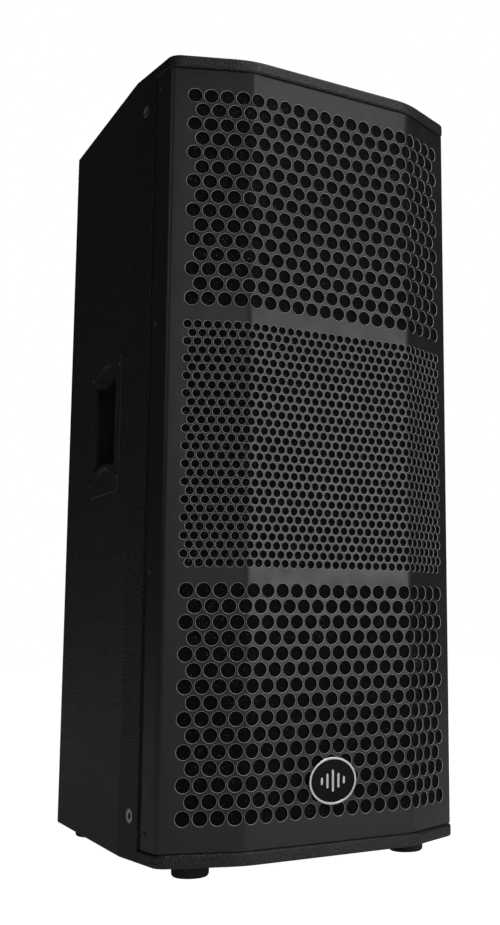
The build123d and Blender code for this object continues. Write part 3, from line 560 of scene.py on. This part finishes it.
class FlatSheet:
    """The punched sheet laid flat: x runs along it, y is the depth and z is the height."""

    def __init__(self):
        self.points = []
        self.faces = []
        self.rims = []  # 1 for each face on a hole's rounded rim, where the grille's coat paints a highlight colour, otherwise 0
        self.known = {}

    def point(self, u, depth, z):
        key = (round(u * 1e7), round(depth * 1e7), round(z * 1e7))
        if key not in self.known:
            self.known[key] = len(self.points)
            self.points.append((u, depth, z))
        return self.known[key]

    def face(self, corners, rim=0.0):
        self.faces.append(corners)
        self.rims.append(rim)

    def both_faces(self, outline):
        """A plain region, as a face on the outside and one on the inside of the sheet."""
        self.face([self.point(u, 0, z) for u, z in outline])
        self.face([self.point(u, SHEET, z) for u, z in reversed(outline)])

    def hole_cell(self, u, z, zone):
        """One hole in its rectangle, with a middle point on the sides shared with other rows."""
        half_u, half_z = zone["pitch"] / 2, zone["row"] / 2
        radius, sides = zone["radius"], zone["sides"]
        turns = [2 * pi * i / sides for i in range(sides)]
        corners = [
            (half_u, -half_z), (half_u, half_z), (0, half_z),
            (-half_u, half_z), (-half_u, -half_z), (0, -half_z),
        ]
        angles = [atan2(y, x) % (2 * pi) for x, y in corners]
        rims = []
        for depth, r in ((0, radius + RIM), (RIM, radius), (SHEET, radius)):
            ring = [self.point(u + r * cos(t), depth, z + r * sin(t)) for t in turns]
            rims.append(ring)
        for a, b, rim in zip(rims, rims[1:], (1.0, 0.0)):
            for i in range(sides):
                j = (i + 1) % sides
                self.face([a[i], a[j], b[j], b[i]], rim)
        nearest = [round(angle / (2 * pi) * sides) % sides for angle in angles]
        for depth, rim, turn in ((0, rims[0], False), (SHEET, rims[2], True)):
            for k, (x, y) in enumerate(corners):
                m = (k + 1) % len(corners)
                start, end = nearest[k], nearest[m]
                arc = [rim[(start + i) % sides] for i in range((end - start) % sides + 1)]
                nx, ny = corners[m]
                side = [self.point(u + x, depth, z + y), self.point(u + nx, depth, z + ny)]
                loop = side + arc[::-1]
                self.face(loop[::-1] if turn else loop)

    def zone(self, middle_z, zone, width):
        """Rows of holes about a height, with plain strips at both ends. Returns its two long edges."""
        rows, columns = zone["rows"], zone["columns"]
        pitch, row = zone["pitch"], zone["row"]
        half = columns * pitch / 2
        low = middle_z - rows * row / 2
        high = low + rows * row
        for k in range(rows):
            z = low + (k + 0.5) * row
            short = (rows - 1 - k) % 2
            count = columns - short
            for i in range(count):
                self.hole_cell((i - (count - 1) / 2) * pitch, z, zone)
            if short:
                for side in (-1, 1):
                    a, b = side * half, side * (half - pitch / 2)
                    left, right = min(a, b), max(a, b)
                    bottom, top = z - row / 2, z + row / 2
                    self.both_faces([(left, bottom), (right, bottom), (right, top), (left, top)])
        levels = [low + k * row for k in range(rows + 1)]
        for side in (-1, 1):
            inner = [(side * half, z) for z in levels]
            outline = [(side * width, high), (side * width, low)] + inner
            self.both_faces(outline[::-1] if side > 0 else outline)
        return self.zone_edge(low, zone), self.zone_edge(high, zone)

    def zone_edge(self, z, zone):
        """The points along a zone's first or last row, from left to right."""
        steps = 2 * zone["columns"]
        length = zone["columns"] * zone["pitch"]
        return [((i / steps - 0.5) * length, z) for i in range(steps + 1)]


def full_width(edge, width):
    """A zone's long edge carried on to both ends of the sheet. The sheet's own edges already are."""
    z = edge[0][1]
    return edge if len(edge) == 2 else [(-width, z), *edge, (width, z)]


def punched_sheet(fold):
    """The whole sheet laid flat, closed all round."""
    low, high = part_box("grille")
    middle = (low.z + high.z) / 2 + PATTERN_RISE
    sheet = FlatSheet()
    width = fold.width
    large_middle = LARGE_START + (LARGE["rows"] - 1) / 2 * LARGE["row"]
    edges = []
    for offset, zone in ((-large_middle, LARGE), (0, SMALL), (large_middle, LARGE)):
        edges += sheet.zone(middle + offset, zone, width)
    bands = [[(-width, low.z), (width, low.z)], *edges, [(-width, high.z), (width, high.z)]]
    for below, above in zip(bands[::2], bands[1::2]):
        lower, upper = full_width(below, width), full_width(above, width)
        sheet.both_faces(lower + upper[::-1])
    return sheet


def grille():
    """The folded, punched steel grille."""
    fold = Fold()
    sheet = punched_sheet(fold)
    mesh = bpy.data.meshes.new("grille_sheet")
    mesh.from_pydata(sheet.points, [], sheet.faces)
    # the rim mask, which carries the painted highlight on the holes' rims
    mesh.attributes.new("rim", "FLOAT", "FACE").data.foreach_set("value", sheet.rims)
    shape = bmesh.new()
    shape.from_mesh(mesh)
    for side in (-1, 1):
        for u in fold.creases():
            bmesh.ops.bisect_plane(
                shape, geom=shape.verts[:] + shape.edges[:] + shape.faces[:], dist=1e-7,
                plane_co=(side * u, 0, 0), plane_no=(1, 0, 0),
            )
    bmesh.ops.bridge_loops(shape, edges=[e for e in shape.edges if e.is_boundary])
    for vert in shape.verts:
        u, depth, z = vert.co
        x, y = fold.place(u, depth)
        vert.co = (x, y, z)
    bmesh.ops.recalc_face_normals(shape, faces=shape.faces)
    shape.to_mesh(mesh)
    shape.free()
    mesh.polygons.foreach_set("use_smooth", [True] * len(mesh.polygons))
    mesh.set_sharp_from_angle(angle=radians(30))
    piece = bpy.data.objects.new("grille_sheet", mesh)
    scene.collection.objects.link(piece)
    finish_piece(piece, "grille")


ROUNDED = {  # node and the width of its rounded edges
    "left_handle": 0.001, "right_handle": 0.001,
    "badge_base": 0.0004, "badge_trim": 0.0007,
    "rubber_feet": 0.001, "rigging_inserts": 0.0005,
    "grille_screws": 0.0002, "handle_screws": 0.0002,
    "input_plate": 0.0006, "speaker_sockets": 0.0004,
    "selector_slider": 0.0004, "selector_housing": 0.0003,
}

camera()
studio()
floor()
materials = make_materials()
for node, thing in nodes.items():
    thing.data.materials.clear()
    thing.data.materials.append(materials[slot_of[node]])
grille()
for node, width in ROUNDED.items():
    softened(node, width)
